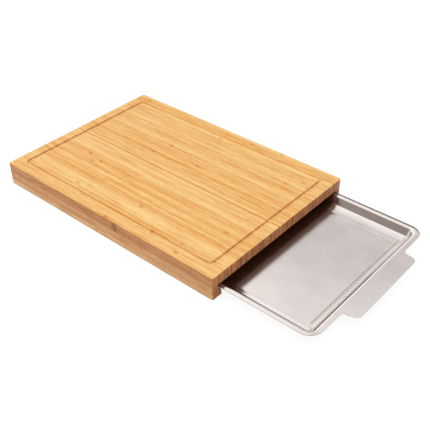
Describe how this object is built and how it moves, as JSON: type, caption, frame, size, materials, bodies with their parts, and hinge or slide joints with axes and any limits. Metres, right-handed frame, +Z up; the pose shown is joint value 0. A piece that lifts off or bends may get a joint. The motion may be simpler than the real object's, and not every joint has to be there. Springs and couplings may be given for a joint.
{
  "type": "bread board with crumb tray",
  "caption": "Laminated bamboo bread board with a juice groove and a pressed steel crumb tray that slides out of one short end.",
  "frame": {"origin": "centre of the part's footprint at rest, on the surface that it stands on, with the tray drawn out as pictured", "axes": "+X along the board's length, the way the tray is drawn out; +Y across the board to its far side; +Z up"},
  "size_m": [0.607, 0.305, 0.038],
  "materials": {
    "top_bamboo": "oiled bamboo, honey coloured, satin",
    "rail_bamboo": "oiled carbonised bamboo, satin",
    "tray_steel": "satin stainless steel sheet"
  },
  "bodies": {
    "board": {"near_rail_base": "rail_bamboo", "near_rail_runner": "rail_bamboo", "near_rail_spacer": "rail_bamboo", "far_rail_base": "rail_bamboo", "far_rail_runner": "rail_bamboo", "far_rail_spacer": "rail_bamboo", "back_rail_base": "rail_bamboo", "back_rail_runner": "rail_bamboo", "back_rail_spacer": "rail_bamboo", "top_stave_01": "top_bamboo", "top_stave_02": "top_bamboo", "top_stave_03": "top_bamboo", "top_stave_04": "top_bamboo", "top_stave_05": "top_bamboo", "top_stave_06": "top_bamboo", "top_stave_07": "top_bamboo", "top_stave_08": "top_bamboo", "top_stave_09": "top_bamboo", "top_stave_10": "top_bamboo", "top_stave_11": "top_bamboo", "top_stave_12": "top_bamboo", "top_stave_13": "top_bamboo", "top_stave_14": "top_bamboo", "top_stave_15": "top_bamboo", "top_stave_16": "top_bamboo", "top_stave_17": "top_bamboo", "top_stave_18": "top_bamboo", "top_stave_19": "top_bamboo", "top_stave_20": "top_bamboo", "top_stave_21": "top_bamboo", "top_stave_22": "top_bamboo", "top_stave_23": "top_bamboo", "top_stave_24": "top_bamboo", "top_stave_25": "top_bamboo", "top_stave_26": "top_bamboo", "top_stave_27": "top_bamboo", "top_stave_28": "top_bamboo", "top_stave_29": "top_bamboo", "top_stave_30": "top_bamboo", "top_stave_31": "top_bamboo", "top_stave_32": "top_bamboo", "top_stave_33": "top_bamboo", "top_stave_34": "top_bamboo", "top_stave_35": "top_bamboo", "top_stave_36": "top_bamboo", "top_stave_37": "top_bamboo", "top_stave_38": "top_bamboo", "top_stave_39": "top_bamboo", "top_stave_40": "top_bamboo", "top_stave_41": "top_bamboo", "top_stave_42": "top_bamboo", "top_stave_43": "top_bamboo", "top_stave_44": "top_bamboo", "top_stave_45": "top_bamboo", "top_stave_46": "top_bamboo", "top_stave_47": "top_bamboo", "top_stave_48": "top_bamboo"},
    "tray": {"crumb_tray": "tray_steel"}
  },
  "joints": [
    {"name": "tray_slide", "type": "slide", "parent": "board", "child": "tray", "axis": [1, 0, 0], "range_m": [-0.1525, 0.2]}
  ]
}
